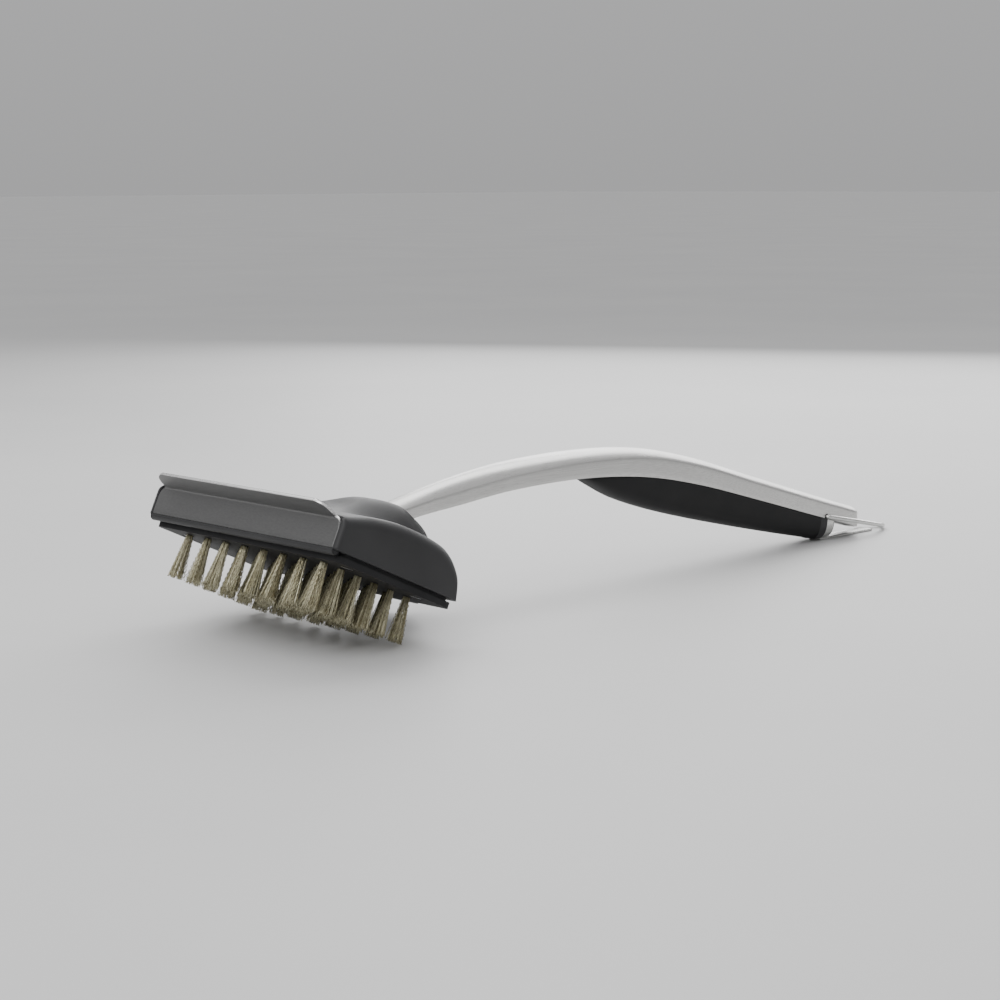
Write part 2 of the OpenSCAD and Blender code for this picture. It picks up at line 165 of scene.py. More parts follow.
def head(a, w, b):
    """Points of the head frame (mm, square to the pitched head) to the shared frame in metres."""
    a, b = np.asarray(a, float), np.asarray(b, float)
    x = a * math.cos(PITCH) + b * math.sin(PITCH)
    z = LIP_Z - a * math.sin(PITCH) + b * math.cos(PITCH)
    return part(x, w, z)


# ---------------------------------------------------------------- meshes
def link(name, data):
    obj = bpy.data.objects.new(name, data)
    bpy.context.scene.collection.objects.link(obj)
    return obj


def new_mesh(name, verts, faces, grain=None):
    """Mesh with an optional grain vector at each vertex, which the materials read."""
    mesh = bpy.data.meshes.new(name)
    mesh.from_pydata(np.asarray(verts).tolist(), [], faces)
    if grain is not None:
        att = mesh.attributes.new("grain", "FLOAT_VECTOR", "POINT")
        att.data.foreach_set("vector", np.asarray(grain, np.float32).ravel())
    return mesh


def add_object(name, verts, faces, angle=35, grain=None):
    """A mesh object with outward faces, smooth but for edges sharper than the angle."""
    mesh = new_mesh(name, verts, faces, grain)
    bm = bmesh.new()
    bm.from_mesh(mesh)
    bmesh.ops.remove_doubles(bm, verts=bm.verts, dist=MERGE)
    bmesh.ops.recalc_face_normals(bm, faces=bm.faces)
    bm.to_mesh(mesh)
    bm.free()
    obj = link(name, mesh)
    shade(obj, angle)
    return obj


def shade(obj, angle):
    """Smooth faces, with edges sharper than the angle marked as such."""
    bm = bmesh.new()
    bm.from_mesh(obj.data)
    limit = math.radians(angle)
    for f in bm.faces:
        f.smooth = True
    for e in bm.edges:
        e.smooth = len(e.link_faces) == 2 and e.calc_face_angle(0) < limit
    bm.to_mesh(obj.data)
    bm.free()


def loft(name, rings, angle=35, grain=None):
    """Closed solid between rings of equal length, given as an array (rings, points, 3)."""
    rings = np.asarray(rings)
    m, n = rings.shape[:2]
    k = np.arange(n)
    k2 = (k + 1) % n
    faces = []
    for i in range(m - 1):
        faces += np.stack([i * n + k, i * n + k2, (i + 1) * n + k2, (i + 1) * n + k], -1).tolist()
    faces += [list(range(n)), list(range((m - 1) * n, m * n))]
    return add_object(name, rings.reshape(-1, 3), faces, angle, grain)


def cut(obj, *tools, angle=35):
    """Takes the tools out of obj and deletes them."""
    for t in tools:
        mod = obj.modifiers.new("cut", "BOOLEAN")
        mod.operation = "DIFFERENCE"
        mod.solver = "EXACT"
        mod.object = t
    graph = bpy.context.evaluated_depsgraph_get()
    mesh = bpy.data.meshes.new_from_object(obj.evaluated_get(graph))
    obj.modifiers.clear()
    old = obj.data
    obj.data = mesh
    mesh.name = old.name
    bpy.data.meshes.remove(old)
    for t in tools:
        bpy.data.objects.remove(t)
    shade(obj, angle)


def rod(name, points, r, sides=16, up=(0, 0, 1)):
    """Round wire along points (metres)."""
    p = np.asarray(points, float)
    d = np.gradient(p, axis=0)
    d /= np.linalg.norm(d, axis=1)[:, None]
    up = np.asarray(up, float)
    u = np.cross(d, up)
    u /= np.linalg.norm(u, axis=1)[:, None]
    v = np.cross(u, d)
    f = np.linspace(0, 2 * math.pi, sides, endpoint=False)
    c, s = np.cos(f)[None, :, None], np.sin(f)[None, :, None]
    return loft(name, p[:, None] + r * (c * u[:, None] + s * v[:, None]))


def drill(start, end, r, up=(0, 0, 1)):
    """Round tool from start to end (part frame, mm)."""
    return rod("drill", part(*np.array([start, end], float).T), r * MM, 32, up)


def cross_bore(r):
    return drill((PIVOT[0], -30, PIVOT[1]), (PIVOT[0], 30, PIVOT[1]), r)


def join(name, *objects):
    """One object of the objects' meshes, side by side."""
    mesh = bpy.data.meshes.new(name)
    bm = bmesh.new()
    for obj in objects:
        bm.from_mesh(obj.data)
        bpy.data.objects.remove(obj)
    bm.to_mesh(mesh)
    bm.free()
    return link(name, mesh)


def head_box(name, lo, hi):
    """Box given by its corners in the head frame."""
    corners = [(a, w, b) for a in (lo[0], hi[0]) for w in (lo[1], hi[1]) for b in (lo[2], hi[2])]
    faces = [(0, 1, 3, 2), (4, 6, 7, 5), (0, 4, 5, 1), (2, 3, 7, 6), (0, 2, 6, 4), (1, 5, 7, 3)]
    return add_object(name, head(*np.array(corners).T), faces)


def arc(cx, cy, r, a0, a1, n):
    """Points of an arc in a plane, angles in degrees."""
    f = np.radians(np.linspace(a0, a1, n + 1))
    return np.stack([cx + r * np.cos(f), cy + r * np.sin(f)], -1)


# ---------------------------------------------------------------- head shell
def flank(w):
    """Share of the ridge in the outline at w: 1 on the flat, 0 beyond the flank's foot."""
    d = (abs(w) - FLAT_W) / (FLANK_W - FLAT_W)
    return np.where(d <= 0, 1, np.where(d >= 1, 0, (1 + np.cos(np.pi * np.clip(d, 0, 1))) / 2))


def quarter_drop(w, edge, r):
    """How far a rounding of radius r has fallen at w, before its edge."""
    d = abs(w) - (edge - r)
    return 0.0 if d <= 0 else r - math.sqrt(max(r * r - d * d, 0))


def shell_profile(w, recessed):
    """Outline of the shell at w, in the plane of a and b; recessed where the scraper lies."""
    k = flank(w)[:, None]
    mixed = SIDE * (1 - k) + RIDGE * k
    top = curve(mixed, 400)
    drop = quarter_drop(w, HEAD_HALF_W, SIDE_ROUND)
    share = np.linspace(0, 1, len(top))
    top[:, 0] = np.maximum(top[:, 0] - 0.5 * drop * share, 0)
    top[:, 1] = np.maximum(top[:, 1] - drop * (top[:, 1] - RIM_B) / 16, RIM_B)
    # resample by length from TOP_START on
    top = top[top[:, 0] >= TOP_START]
    s = np.concatenate([[0], np.cumsum(np.hypot(*np.diff(top, axis=0).T))])
    at = np.linspace(0, s[-1], 84)
    top = np.stack([np.interp(at, s, top[:, 0]), np.interp(at, s, top[:, 1])], -1)
    b0 = float(top[0, 1])
    slope = (top[1, 1] - top[0, 1]) / (top[1, 0] - top[0, 0])
    turn = np.linspace(0.2, 1.45, 6)
    if recessed:
        lip = arc(LIP_R, LIP_R, LIP_R, 0, -180, 14)
        ledge = np.array([[0, 2.45], [0.05, 2.57], [0.2, 2.62], [SHEET_T - 0.1, 2.62]])
        x0, r = SHEET_T + FIT_GAP, 0.7
        wall = np.array([[x0, b] for b in np.linspace(2.7, b0 - slope * (TOP_START - x0) - r, 8)])
        rise = 0.92 * r * np.sin(turn)
        corner = np.stack([x0 + r * (1 - np.cos(turn)), wall[-1, 1] + rise], -1)
    else:
        edge_r = 0.8
        lip = np.concatenate([np.stack([np.linspace(2 * LIP_R, edge_r, 10), np.full(10, RIM_B)], -1),
                              arc(edge_r, RIM_B + edge_r, edge_r, -108, -172, 4)])
        ledge = np.stack([np.zeros(4), np.linspace(3.1, 3.4, 4)], -1)
        r = 1.4
        high = b0 - slope * TOP_START - r
        wall = np.array([[0, b] for b in np.linspace(3.6, high, 8)])
        out = r * (1 - np.cos(turn))
        corner = np.stack([out, high + r * np.sin(turn) + slope * out], -1)
    ring = np.concatenate([lip, ledge, wall, corner, top])
    shift = quarter_drop(w, HEAD_HALF_W, POST_ROUND)
    ring[:, 0] += shift * np.clip(1 - ring[:, 0] / 12, 0, 1)
    lift = quarter_drop(w, HEAD_HALF_W, RIM_ROUND)
    if not recessed:
        ring[:, 1] = np.maximum(ring[:, 1], RIM_B + lift)
    return ring


def build_head_shell():
    ends = [HEAD_HALF_W - SIDE_ROUND + SIDE_ROUND * math.sin(math.radians(f)) for f in (22, 32)]
    posts = [SCRAPER_HALF_W + 0.12, 67.0, 67.5, 68.0, 68.4, 68.75, 69.0, 69.2, 69.35, 69.45, 69.5]
    inner = list(np.arange(0, 64.5, 1.5)) + ends
    plan = [(-w, False) for w in posts[::-1]] + [(-SCRAPER_HALF_W - 0.08, True)]
    plan += [(-w, True) for w in inner[:0:-1]] + [(w, True) for w in inner]
    plan += [(SCRAPER_HALF_W + 0.08, True)] + [(w, False) for w in posts]
    rings = []
    for w, recessed in plan:
        p = shell_profile(w, recessed)
        rings.append(head(p[:, 0], w, p[:, 1]))
    obj = loft("shell_moulding", rings, angle=38)
    low, high = (CAVITY_A[0], -CAVITY_HALF_W, -1), (CAVITY_A[1], CAVITY_HALF_W, CAVITY_TOP_B)
    cavity = head_box("cavity", low, high)
    socket = loft("socket", [handle_ring(x, -0.12) for x in np.arange(62, 124, 3.0)])
    cut(obj, cavity, socket, angle=38)
    return obj


# ---------------------------------------------------------------- handle
def handle_ring(x, t=0.0, low=0.0, steps=36):
    """Section of the handle moved in by t, its lower edge raised by low."""
    crown, floor, half, arch, full = handle_at(x)
    w = max(half - t, 0.2)
    shoulder = crown - arch
    f = np.linspace(0, math.pi, steps + 1)
    s = np.sin(f)
    z = shoulder - t + arch * ((1 - full) * s * s + full * s)
    y = w * np.cos(f)
    return part(x, np.concatenate([[-w, w], y]), np.concatenate([[floor + low, floor + low], z]))


def u_profile(x, xi, steps=40):
    """Channel section: outer skin at x, inner skin at xi, with softened lower edges."""
    crown, floor, half, arch, full = handle_at(x)
    e = 0.3
    shoulder = crown - arch
    f = np.linspace(0, math.pi, steps + 1)
    s = np.sin(f)
    bow = arch * ((1 - full) * s * s + full * s)
    w_in = max(half - STEEL_T, 0.0) if x <= NOSE_X else max(NOSE_R - STEEL_T, 0) * half / NOSE_R
    side = np.linspace(0, 1, 5)[:-1]
    out_y = np.concatenate([[half - e, half - 0.3 * e], np.full(4, half), half * np.cos(f),
                            np.full(4, -half), [-half + 0.3 * e, -half + e]])
    lo, hi = floor + e, shoulder
    out_z = np.concatenate([[floor, floor + 0.3 * e], lo + (hi - lo) * side, shoulder + bow,
                            lo + (hi - lo) * (1 - side - 0.25), [floor + 0.3 * e, floor]])
    in_y = np.concatenate([[-w_in], -w_in * np.cos(f), [w_in]])
    in_z = np.concatenate([[floor], shoulder - STEEL_T + bow, [floor]])
    n_out = len(out_y)
    xs = np.concatenate([np.full(n_out, x), np.full(len(in_y), xi)])
    around = np.concatenate([np.linspace(0, 1, n_out), np.linspace(1, 0, len(in_y))])
    return part(xs, np.concatenate([out_y, in_y]), np.concatenate([out_z, in_z])), around


def build_handle():
    xs = [(x, x) for x in np.linspace(62, NOSE_X, 150)]
    for f in np.radians(np.linspace(6, 90, 18)):
        xs.append((NOSE_X + NOSE_R * math.sin(f), NOSE_X + (NOSE_R - STEEL_T) * math.sin(f)))
    rings, grain = [], []
    for x, xi in xs:
        ring, around = u_profile(x, xi)
        rings.append(ring)
        grain.append(np.stack([np.full(len(around), x * MM), around * 0.06, ring[:, 2]], -1))
    obj = loft("handle_channel", rings, angle=32, grain=np.array(grain).reshape(-1, 3))
    cut(obj, cross_bore(WIRE_R + 0.45), angle=32)
    return obj


def build_underside():
    rings, grain = [], []
    for x in np.linspace(70, GRIP_X[0] + 13, 60):
        crown, floor, half, arch, full = handle_at(x)
        w, e = half - STEEL_T - 0.02, 0.15
        lo, hi = floor + 0.25, floor + STEEL_T
        y = [-w + e, w - e, w, w, w - e, -w + e, -w, -w]
        z = [lo, lo, lo + e, hi - e, hi, hi, hi - e, lo + e]
        rings.append(part(x, y, z))
        grain.append(np.stack([np.full(8, x * MM), np.array(y) * MM, np.array(z) * MM], -1))
    return loft("channel_strip", rings, grain=np.array(grain).reshape(-1, 3))


def build_grip():
    rings = []
    gap = 0.12
    nose = GRIP_X[0] + 1
    stations = [nose + 12 * np.linspace(0, 1, 16) ** 1.6, np.linspace(nose + 13, GRIP_X[1], 96)]
    for x in np.concatenate(stations):
        low = float(np.interp(x, GRIP_FINE[:, 0], GRIP_FINE[:, 1]))
        half = float(np.interp(x, GRIP_FINE[:, 0], GRIP_FINE[:, 2]))
        crown, floor, h_half, arch, full = handle_at(x)
        w = min(half, h_half) + 0.05
        top = floor - gap
        depth = top - low
        e = min(0.5, 0.3 * depth)
        f = np.radians(np.linspace(180, 360, 49))
        y = w * np.sign(np.cos(f)) * np.abs(np.cos(f)) ** 0.75
        z = (top - e) + (depth - e) * np.sin(f)
        soft = np.radians(np.linspace(0, 90, 5)[1:])
        y = np.concatenate([y, w - e + e * np.cos(soft), -(w - e) - e * np.cos(soft[::-1])])
        z = np.concatenate([z, top - e + e * np.sin(soft), top - e + e * np.sin(soft[::-1])])
        rings.append(part(x, y, z))
    return loft("belly_grip", rings, angle=50)


# ---------------------------------------------------------------- tail cap
def heel_section(x, inset, floor_z):
    """Half section of the heel from side to side below the channel, moved in by inset."""
    low = float(np.interp(x, HEEL_FINE[:, 0], HEEL_FINE[:, 1])) + inset
    half = float(np.interp(x, HEEL_FINE[:, 0], HEEL_FINE[:, 2])) - inset
    top = handle_at(x)[1] - 0.1
    f = np.radians(np.linspace(180, 360, 61))
    y = half * np.sign(np.cos(f)) * np.abs(np.cos(f)) ** 0.7
    z = np.maximum(top + (top - low) * np.sin(f), floor_z)
    return y, z, top, half


def build_tail_cap():
    """Filling of the channel's tail with its nose, and the heel below it."""
    t = STEEL_T + FIT_GAP
    lift = 0.35
    rings = [handle_ring(x, t, lift) for x in np.linspace(GRIP_X[1], NOSE_X, 16)]
    for f in np.radians(np.linspace(8, 84, 12)):
        x = NOSE_X + (NOSE_R - t) * math.sin(f)
        narrow = (NOSE_R - t) * math.cos(f) / handle_at(x)[2]
        rings.append(handle_ring(x, 0, lift + t) * [1, narrow, 1] - [0, 0, t * MM])
    inner = loft("tail_cap_inner", rings)
    rings = []
    groove = BAND_T + FIT_GAP
    sections = [(x, 0) for x in np.linspace(GRIP_X[1], BAND_X[0], 8)]
    sections += [(x, groove) for x in np.linspace(*BAND_X, 5)]
    sections += [(x, 0) for x in (BAND_X[1], 408.4, 408.7, 408.9, 409)]
    for x, inset in sections:
        y, z, top, half = heel_section(x, inset, FOOT_T + inset)
        plug = min(half - 0.2, NOSE_R - STEEL_T - 0.2)
        y = np.concatenate([y, [plug, plug, -plug, -plug]])
        z = np.concatenate([z, [top, top + 1.2, top + 1.2, top]])
        rings.append(part(x, y, z))
    heel = loft("tail_cap_heel", rings, angle=40)
    for obj in (inner, heel):
        cut(obj, cross_bore(WIRE_R + 0.05), angle=40)
    return join("tail_cap_moulding", inner, heel)


def build_foot():
    """Strip along the table and band round the heel."""
    e = 0.25
    rings = []
    for x, inset in ((FOOT_X[0], e), (FOOT_X[0] + e, 0), (FOOT_X[1] - e, 0), (FOOT_X[1], e)):
        w, lo_z, hi_z = FOOT_HALF_W - inset, inset, FOOT_T - inset
        y = np.array([-w, -w, e - w, w - e, w, w, w - e, e - w])
        z = np.array([lo_z + e, hi_z - e, hi_z, hi_z, hi_z - e, lo_z + e, lo_z, lo_z])
        rings.append(part(x, y, z))
    strip = loft("foot_strip", rings)
    rings = []
    for step, inset in ((0.05, 0.12), (0.2, 0), (2, 0), (4, 0), (5.8, 0), (5.95, 0.12)):
        x = BAND_X[0] + step
        y, z, top, half = heel_section(x, inset, FOOT_T - 0.3)
        y2, z2, top, half = heel_section(x, BAND_T, FOOT_T + BAND_T)
        z = np.minimum(np.concatenate([z, z2[::-1]]), top - 0.1)
        rings.append(part(x, np.concatenate([y, y2[::-1]]), z))
    band = loft("foot_band", rings, angle=40)
    for obj in (strip, band):
        hole = drill((RIVET_X, 0, -1), (RIVET_X, 0, 5), 1.42, (1, 0, 0))
        seat = drill((RIVET_X, 0, -1), (RIVET_X, 0, 0.6), 2.4, (1, 0, 0))
        cut(obj, hole, seat, angle=40)
    return join("tail_foot_steel", strip, band)


# ---------------------------------------------------------------- scraper
def build_scraper():
    """Bent sheet, made of rings across it along its middle line; its cut faces are the rim, which takes a
    painted highlight.
    """
    leg_low, e = LIP_R + 0.6, 0.22
    rise = math.atan2(FLANGE_RISE, FLANGE_REACH)
    reach = math.hypot(FLANGE_RISE, FLANGE_REACH)
    bend, corner, neck, round_r = 1.9, 6.0, SCRAPER_HALF_W - 4.2, 7.0
    t = SHEET_T
    # middle line of the sheet: up the leg, round the bend, out along the edge
    turn = math.pi / 2 - rise
    cx, cb = t / 2 - bend, FACE_TOP_B - t / 2 - bend * math.tan(turn / 2) - 0.1
    leg = [(t / 2, b) for b in np.linspace(leg_low, cb, 14)]
    bow = [(cx + bend * math.cos(f), cb + bend * math.sin(f)) for f in np.linspace(0, turn, 9)[1:]]
    bx, bb = bow[-1]
    straight = reach + bx - round_r
    rounding = straight + round_r * np.sin(np.radians(np.linspace(8, 90, 14)))
    out = [(bx - math.cos(rise) * v, bb + math.sin(rise) * v)
           for v in np.concatenate([np.linspace(0, straight, 5)[1:], rounding])]
    line = np.array(leg + bow + out)
    tangent = np.gradient(line, axis=0)
    tangent /= np.linalg.norm(tangent, axis=1)[:, None]
    normal = np.stack([-tangent[:, 1], tangent[:, 0]], -1)
    s = np.concatenate([[0], np.cumsum(np.hypot(*np.diff(line, axis=0).T))])
    total = s[-1]
    leg_top = FACE_TOP_B - leg_low
    half = np.full(len(s), neck)
    for i, v in enumerate(s):
        if v < leg_top:
            d = max(v - (leg_top - corner), 0)
            half[i] = max(neck, SCRAPER_HALF_W - corner + math.sqrt(max(corner ** 2 - d ** 2, 0)))
        if v > total - round_r:
            d = v - (total - round_r)
            half[i] = neck - round_r + math.sqrt(max(round_r ** 2 - d ** 2, 0))
    dense = 0.12 * np.linspace(0, 1, 9) ** 1.5
    across = np.concatenate([dense - 1, np.linspace(-0.88, 0.88, 45)[1:-1], 1 - dense[::-1]])
    rings, grain = [], []
    m = len(line)
    for i in range(m):
        thin = t / 2 - (e if i in (0, m - 1) else 0)
        w = half[i]
        side = across * (w - e)
        y = np.concatenate([[-w], side, [w], [w], side[::-1], [-w]])
        face = np.concatenate([[thin - e], np.full(len(side), thin), [thin - e]])
        off = np.concatenate([face, -face])
        pa = line[i, 0] + normal[i, 0] * off
        pb = line[i, 1] + normal[i, 1] * off
        rings.append(head(pa, y, pb))
        grain.append(np.stack([y * MM, np.full(len(y), s[i] * MM), off * MM], -1))
    obj = loft("scraper_sheet", rings, angle=50, grain=np.array(grain).reshape(-1, 3))
    off = np.empty(len(obj.data.vertices) * 3, np.float32)
    obj.data.attributes["grain"].data.foreach_get("vector", off)
    # the cut faces get the second material: bare edge steel, brightened as a painted highlight
    highlight_rim = np.abs(off[2::3]) < (t / 2 - e / 2) * MM
    for polygon in obj.data.polygons:
        polygon.material_index = int(all(highlight_rim[v] for v in polygon.vertices))
    return obj


# ---------------------------------------------------------------- wire tufts
def build_tufts(row):
    """A row of tufts, each of thin crimped wires with three sides."""
    a0 = FIRST_ROW_A + (row - 1) * PITCH_A
    verts, faces, tones = [], [], []
    count = 0
    steps = WIRE_STEPS + 1
    t = np.linspace(0, 1, steps)
    thirds = math.radians(120) * np.arange(3)
    root_r = ROOT_R - 0.25
    sunk, clear = 0.8, 0.12
    for i in range(TUFTS_ACROSS):
        w0 = (i - (TUFTS_ACROSS - 1) / 2) * PITCH_W
        lean = rng.normal(0, 0.35, 2)
        for _ in range(WIRES_PER_TUFT):
            rho = math.sqrt(rng.random())
            phi = rng.random() * 2 * math.pi
            phi2 = phi + rng.normal(0, 0.35)
            tip_r = min(TIP_R * rho ** 0.8 * (1 + rng.normal(0, 0.14)), TIP_R + 0.7)
            root = root_r * rho * np.array([math.cos(phi), math.sin(phi)])
            tip = tip_r * np.array([math.cos(phi2), math.sin(phi2)]) + lean
            short = abs(rng.normal(0, 0.6)) + (rng.random() < 0.1) * rng.random() * 2.6
            pos = root + (tip - root) * (t ** 1.12)[:, None]
            crimp = rng.random() * 2 * math.pi
            kick = np.array([math.cos(crimp), math.sin(crimp)])
            amount = 0.24 * (1 + 0.3 * rng.normal()) * np.clip(t * 6 - 0.3, 0, 1)
            zigzag = np.where((np.arange(steps) + rng.integers(0, 2)) % 2 == 0, 1.0, -1.0)
            wave = zigzag + rng.normal(0, 0.25, steps)
            pos = pos + (amount * wave)[:, None] * kick
            pos = pos + 0.16 * rng.normal(0, 1, 2) * t[:, None] ** 2
            b = BLOCK_LOW_B + sunk - (TUFT_LEN + sunk - clear - short) * t
            twist = rng.random() * 2
            ring_a = a0 + pos[:, :1] + WIRE_HALF * np.cos(thirds + twist)
            ring_w = w0 + pos[:, 1:] + WIRE_HALF * np.sin(thirds + twist)
            verts.append(head(ring_a, ring_w, np.repeat(b[:, None], 3, 1)).reshape(-1, 3))
            for p in range(count, count + 3 * WIRE_STEPS, 3):
                q = p + 3
                faces += [(p, p + 1, q + 1, q), (p + 1, p + 2, q + 2, q + 1), (p + 2, p, q, q + 2)]
            faces += [(count, count + 2, count + 1), (q, q + 1, q + 2)]
            count += 3 * steps
            tone = rng.random()
            tones.append(np.stack([np.full(3 * steps, tone), np.repeat(t, 3), np.full(3 * steps, rho)], -1))
    verts = np.concatenate(verts)
    verts[:, 2] = np.maximum(verts[:, 2], TIP_LIFT)
    name = "tuft_wires_%d" % row
    mesh = new_mesh(name, verts, faces, np.concatenate(tones))
    mesh.polygons.foreach_set("use_smooth", np.ones(len(mesh.polygons), bool))
    return link(name, mesh)


# ---------------------------------------------------------------- hanging loop
def bezier(p, t):
    """Points of a cubic curve with the control points p at t."""
    p = np.asarray(p, float)
    t = t[:, None]
    return p[0] * (1 - t) ** 3 + 3 * p[1] * t * (1 - t) ** 2 + 3 * p[2] * t * t * (1 - t) + p[3] * t ** 3


def build_loop():
    """Wire from one end in the cross bore round the loop to the other."""
    stub = np.array([[0, w] for w in np.linspace(CAP_WIRE_W, ARM_W - BEND_R, 6)])
    elbow = arc(BEND_R, ARM_W - BEND_R, BEND_R, 180, 90, 10)[1:]
    arm = bezier([[BEND_R, ARM_W], [22, 17], [LOOP_LEN, 8], [LOOP_LEN, 0]], np.linspace(0, 1, 49)[1:])
    half = np.concatenate([stub, elbow, arm])
    path = np.concatenate([half, (half * [1, -1])[-2::-1]])
    c, s = math.cos(LOOP_SAG), math.sin(LOOP_SAG)
    pts = part(PIVOT[0] + path[:, 0] * c, path[:, 1], PIVOT[1] - path[:, 0] * s)
    return rod("loop_wire", pts, WIRE_R * MM, 20, up=(s, 0, c))


# ---------------------------------------------------------------- materials
def new_material(name):
    """Material, its surface node, a function that adds nodes, and its links."""
    mat = bpy.data.materials.new(name)
    mat.use_nodes = True
    nodes, links = mat.node_tree.nodes, mat.node_tree.links
    bsdf = nodes["Principled BSDF"]

    def node(kind, inputs=None, **props):
        n = nodes.new(kind)
        for key, value in props.items():
            setattr(n, key, value)
        for key, value in (inputs or {}).items():
            if isinstance(value, bpy.types.NodeSocket):
                links.new(value, n.inputs[key])
            else:
                n.inputs[key].default_value = value
        return n
    return mat, bsdf, node, links


def ramp(node, fac, stops):
    """Colour ramp over fac with stops of position and colour."""
    r = node("ShaderNodeValToRGB", {"Fac": fac})
    el = r.color_ramp.elements
    while len(el) < len(stops):
        el.new(0.5)
    for e, (pos, col) in zip(el, stops):
        e.position = pos
        e.color = (*col, 1)
    return r.outputs["Color"]


def spread(node, value, low, high, start=0.0, end=1.0):
    """Value between start and end spread over low to high."""
    settings = {"Value": value, "From Min": start, "From Max": end, "To Min": low, "To Max": high}
    return node("ShaderNodeMapRange", settings).outputs["Result"]


def noise(node, vector, scale, detail=3, rough=0.55):
    settings = {"Vector": vector, "Scale": scale, "Detail": detail, "Roughness": rough}
    return node("ShaderNodeTexNoise", settings).outputs["Fac"]


def stretch(node, vector, *scale):
    return node("ShaderNodeMapping", {"Vector": vector, "Scale": scale}).outputs["Vector"]


def bump(node, height, strength, distance):
    settings = {"Height": height, "Strength": strength, "Distance": distance}
    return node("ShaderNodeBump", settings).outputs["Normal"]


def plastic_material(name, dark, light, rough, grit, specular):
    """Moulded plastic or rubber with a fine grit."""
    mat, bsdf, node, links = new_material(name)
    co = node("ShaderNodeTexCoord").outputs["Object"]
    large = noise(node, co, 45, 4)
    fine = noise(node, co, 2600, 2)
    links.new(ramp(node, large, [(0.3, dark), (0.7, light)]), bsdf.inputs["Base Color"])
    links.new(spread(node, noise(node, co, 180, 5), rough - 0.05, rough + 0.07), bsdf.inputs["Roughness"])
    links.new(bump(node, fine, grit, 0.0001), bsdf.inputs["Normal"])
    bsdf.inputs["Specular IOR Level"].default_value = specular
    return mat


def brushed_material(name, dark, light, rough, along, across, strength, anis):
    """Brushed sheet: grain stretched along the piece's own length."""
    mat, bsdf, node, links = new_material(name)
    co = node("ShaderNodeAttribute", attribute_name="grain").outputs["Vector"]
    lines = noise(node, stretch(node, co, along, across, across), 1.0, 5, 0.7)
    cloud = noise(node, co, 60, 4)
    links.new(ramp(node, lines, [(0.3, dark), (0.72, light)]), bsdf.inputs["Base Color"])
    both = node("ShaderNodeMath", {0: lines, 1: cloud}, operation="ADD").outputs[0]
    links.new(spread(node, both, rough - 0.07, rough + 0.09, 0.6, 1.4), bsdf.inputs["Roughness"])
    links.new(bump(node, lines, strength, 0.00006), bsdf.inputs["Normal"])
    bsdf.inputs["Metallic"].default_value = 1.0
    bsdf.inputs["Anisotropic"].default_value = anis
    return mat


def brass_material():
    """Brass wires: each has its own tone, with stains over the whole."""
    mat, bsdf, node, links = new_material("brass_wire")
    att = node("ShaderNodeAttribute", attribute_name="grain").outputs["Vector"]
    parts = node("ShaderNodeSeparateXYZ", {"Vector": att})
    tones = [(0.0, (0.25, 0.22, 0.13)), (0.4, (0.62, 0.58, 0.39)), (1.0, (0.93, 0.90, 0.70))]
    tone = ramp(node, parts.outputs["X"], tones)
    co = node("ShaderNodeTexCoord").outputs["Object"]
    stain = ramp(node, noise(node, co, 260, 4), [(0.35, (0.72, 0.70, 0.66)), (0.65, (1.0, 1.0, 1.0))])
    mix = node("ShaderNodeMix", {"Factor": 1.0}, data_type="RGBA", blend_type="MULTIPLY")
    links.new(tone, mix.inputs[6])
    links.new(stain, mix.inputs[7])
    links.new(mix.outputs[2], bsdf.inputs["Base Color"])
    links.new(spread(node, noise(node, co, 900, 2), 0.26, 0.46), bsdf.inputs["Roughness"])
    bsdf.inputs["Metallic"].default_value = 1.0
    return mat


def wire_material(name, dark, light, rough):
    """Drawn wire and turned pieces, with faint streaks."""
    mat, bsdf, node, links = new_material(name)
    co = node("ShaderNodeTexCoord").outputs["Object"]
    streak = noise(node, stretch(node, co, 40, 700, 700), 1.0, 4, 0.6)
    links.new(ramp(node, streak, [(0.3, dark), (0.7, light)]), bsdf.inputs["Base Color"])
    links.new(spread(node, noise(node, co, 220, 4), rough - 0.06, rough + 0.1), bsdf.inputs["Roughness"])
    links.new(bump(node, streak, 0.12, 0.00005), bsdf.inputs["Normal"])
    bsdf.inputs["Metallic"].default_value = 1.0
    return mat


shell_mat = plastic_material("charcoal_plastic", (0.020, 0.020, 0.021), (0.029, 0.029, 0.030),
                             0.50, 0.35, 0.40)
block_mat = plastic_material("block_plastic", (0.012, 0.012, 0.013), (0.019, 0.019, 0.020),
                             0.62, 0.30, 0.25)
inner_mat = plastic_material("inner_plastic", (0.011, 0.011, 0.012), (0.017, 0.017, 0.018),
                             0.42, 0.25, 0.35)
rubber_mat = plastic_material("soft_rubber", (0.0065, 0.0065, 0.007), (0.011, 0.011, 0.0115),
                              0.62, 0.45, 0.28)
handle_mat = brushed_material("brushed_handle", (0.50, 0.495, 0.485), (0.70, 0.695, 0.68),
                              0.30, 9, 2600, 0.25, 0.55)
# scraper faces: satin roughness, with a dark tone that is painted shade for the dark surroundings the steel
# reflects
scraper_painted_shade_mat = brushed_material("satin_scraper_painted_shade", (0.155, 0.155, 0.155), (0.20, 0.20, 0.198),
                               0.47, 500, 1500, 0.30, 0.0)
# cut edges of the scraper: bare steel made brighter than the handle's steel, a painted highlight along the
# edges
rim_highlight_mat = brushed_material("bare_rim_painted_highlight", (0.66, 0.66, 0.65), (0.84, 0.84, 0.83),
                           0.27, 20, 900, 0.15, 0.0)
loop_mat = wire_material("loop_steel", (0.50, 0.50, 0.49), (0.72, 0.72, 0.70), 0.22)
zinc_mat = wire_material("zinc_steel", (0.36, 0.36, 0.37), (0.55, 0.55, 0.56), 0.36)
foot_mat = wire_material("foot_steel", (0.45, 0.45, 0.44), (0.66, 0.66, 0.64), 0.27)
brass_mat = brass_material()


